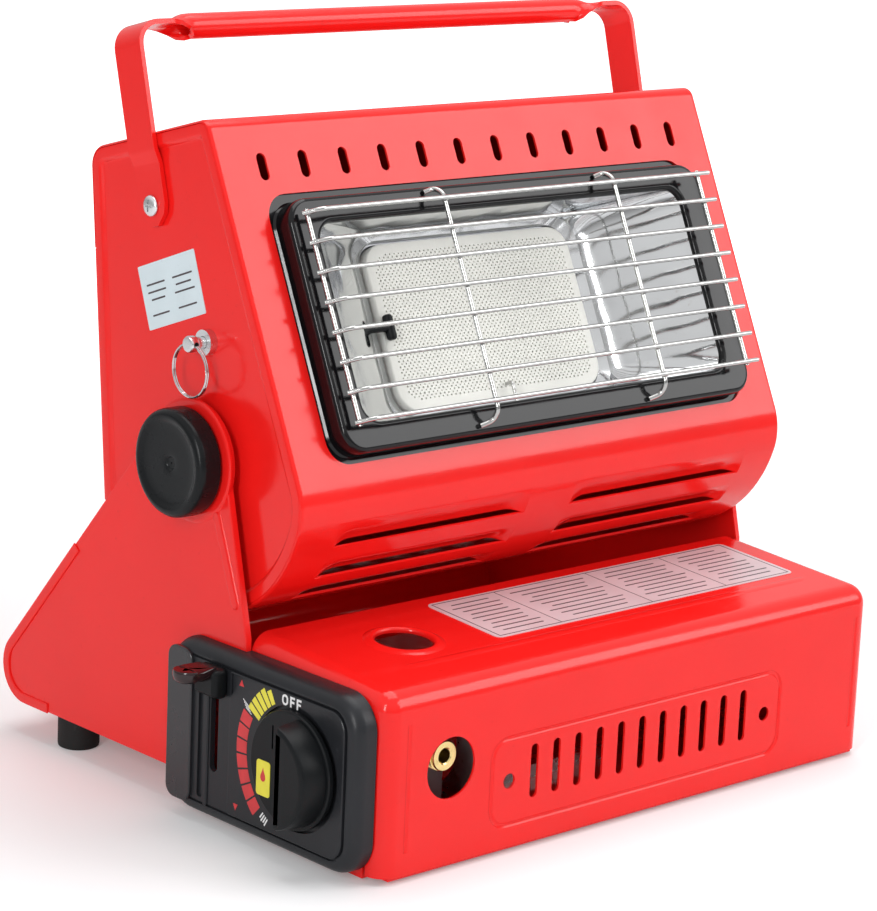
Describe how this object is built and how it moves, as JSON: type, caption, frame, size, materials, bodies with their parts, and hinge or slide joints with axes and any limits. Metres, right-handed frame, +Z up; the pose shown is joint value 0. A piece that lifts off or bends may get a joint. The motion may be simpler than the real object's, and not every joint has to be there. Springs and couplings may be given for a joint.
{
  "type": "portable propane heater",
  "caption": "Portable gas heater: a tilting radiant head with carrying handle between two side brackets, over a box with a hinged lid that holds the gas cartridge.",
  "frame": {"origin": "on the floor under the middle of the bounding box", "axes": "+Z up, -Y to the front, the side that radiates, +X to the right of a person who faces the heater"},
  "size_m": [0.3176, 0.2382, 0.3078],
  "materials": {
    "red_enamel": "gloss",
    "panel_plastic": "satin",
    "strip_plastic": "gloss",
    "knob_plastic": "satin",
    "foot_rubber": "matte",
    "black_enamel": "satin",
    "polished_steel": "polished",
    "plated_steel": "satin",
    "spring_steel": "satin",
    "grey_steel": "satin",
    "die_cast": "satin",
    "brass": "satin",
    "plaque_ceramic": "matte",
    "white_ceramic": "gloss",
    "label_film": "satin",
    "marker_yellow": "satin"
  },
  "bodies": {
    "stand": {"left_bracket": "red_enamel", "right_bracket": "red_enamel", "base_tray": "red_enamel", "rear_panel": "red_enamel", "control_panel": "panel_plastic", "panel_strip": "strip_plastic", "rear_feet": "foot_rubber", "front_feet": "foot_rubber", "foot_screws": "plated_steel", "regulator": "die_cast", "gas_inlet": "brass", "cartridge_rails": "grey_steel", "piezo_igniter": "knob_plastic", "feed_tube": "brass", "left_pivot_bolt": "plated_steel", "right_pivot_bolt": "plated_steel", "tilt_quadrant": "plated_steel"},
    "lid": {"cartridge_lid": "red_enamel", "lid_hinge_pins": "plated_steel", "lid_label": "label_film"},
    "head": {"head_shell": "red_enamel", "left_side_pan": "red_enamel", "right_side_pan": "red_enamel", "rear_cover": "red_enamel", "bezel": "black_enamel", "reflector": "polished_steel", "burner_box": "grey_steel", "ceramic_plaque": "plaque_ceramic", "plaque_rim": "plated_steel", "igniter_electrode": "plated_steel", "electrode_insulator": "white_ceramic", "electrode_lead": "foot_rubber", "thermocouple": "grey_steel", "mixing_tube": "grey_steel", "gas_jet": "brass", "head_gas_tube": "brass", "left_pivot_bush": "brass", "right_pivot_bush": "brass", "grille": "polished_steel", "plunger_housing": "plated_steel", "handle_screws": "plated_steel", "side_label": "label_film", "plunger_spring": "spring_steel"},
    "handle": {"carry_handle": "red_enamel"},
    "left_knob": {"left_tilt_knob": "knob_plastic"},
    "right_knob": {"right_tilt_knob": "knob_plastic"},
    "plunger": {"lock_plunger": "plated_steel"},
    "ring": {"pull_ring": "plated_steel"},
    "dial": {"control_knob": "knob_plastic", "valve_stem": "plated_steel", "knob_marker": "marker_yellow"},
    "lever": {"lock_lever": "panel_plastic"},
    "carriage": {"cartridge_carriage": "grey_steel"}
  },
  "joints": [
    {"name": "head_tilt", "type": "hinge", "parent": "stand", "child": "head", "pos_m": [0.00717, -0.0043, 0.1408], "axis": [-1, 0, 0], "range_deg": [0, 65]},
    {"name": "lid_hinge", "type": "hinge", "parent": "stand", "child": "lid", "pos_m": [0.00717, -0.044, 0.0746], "axis": [-1, 0, 0], "range_deg": [0, 55]},
    {"name": "handle_swing", "type": "hinge", "parent": "head", "child": "handle", "pos_m": [0.00717, 0.0308, 0.2342], "axis": [-1, 0, 0], "range_deg": [-59, 90]},
    {"name": "left_knob_turn", "type": "hinge", "parent": "stand", "child": "left_knob", "pos_m": [-0.13883, -0.0043, 0.1408], "axis": [-1, 0, 0], "range_deg": [0, 180]},
    {"name": "right_knob_turn", "type": "hinge", "parent": "stand", "child": "right_knob", "pos_m": [0.15318, -0.0043, 0.1408], "axis": [1, 0, 0], "range_deg": [0, 180]},
    {"name": "plunger_pull", "type": "slide", "parent": "head", "child": "plunger", "axis": [-1, 0, 0], "range_m": [0, 0.0035], "stiffness_N_per_m": 300, "springref_m": -0.002, "deforming": ["plunger_spring"]},
    {"name": "ring_swing", "type": "hinge", "parent": "plunger", "child": "ring", "pos_m": [-0.13382, -0.0043, 0.1864], "axis": [0, 1, 0], "range_deg": [0, 85]},
    {"name": "dial_turn", "type": "hinge", "parent": "stand", "child": "dial", "pos_m": [-0.14283, -0.0812, 0.0386], "axis": [-1, 0, 0], "range_deg": [0, 110]},
    {"name": "lever_slide", "type": "slide", "parent": "stand", "child": "lever", "axis": [0, 0, -1], "range_m": [0, 0.034]},
    {"name": "carriage_slide", "type": "slide", "parent": "stand", "child": "carriage", "axis": [-1, 0, 0], "range_m": [0, 0.006]}
  ],
  "couplings": [
    {"joint": "carriage_slide", "follows": "lever_slide", "ratio": 0.17647}
  ]
}
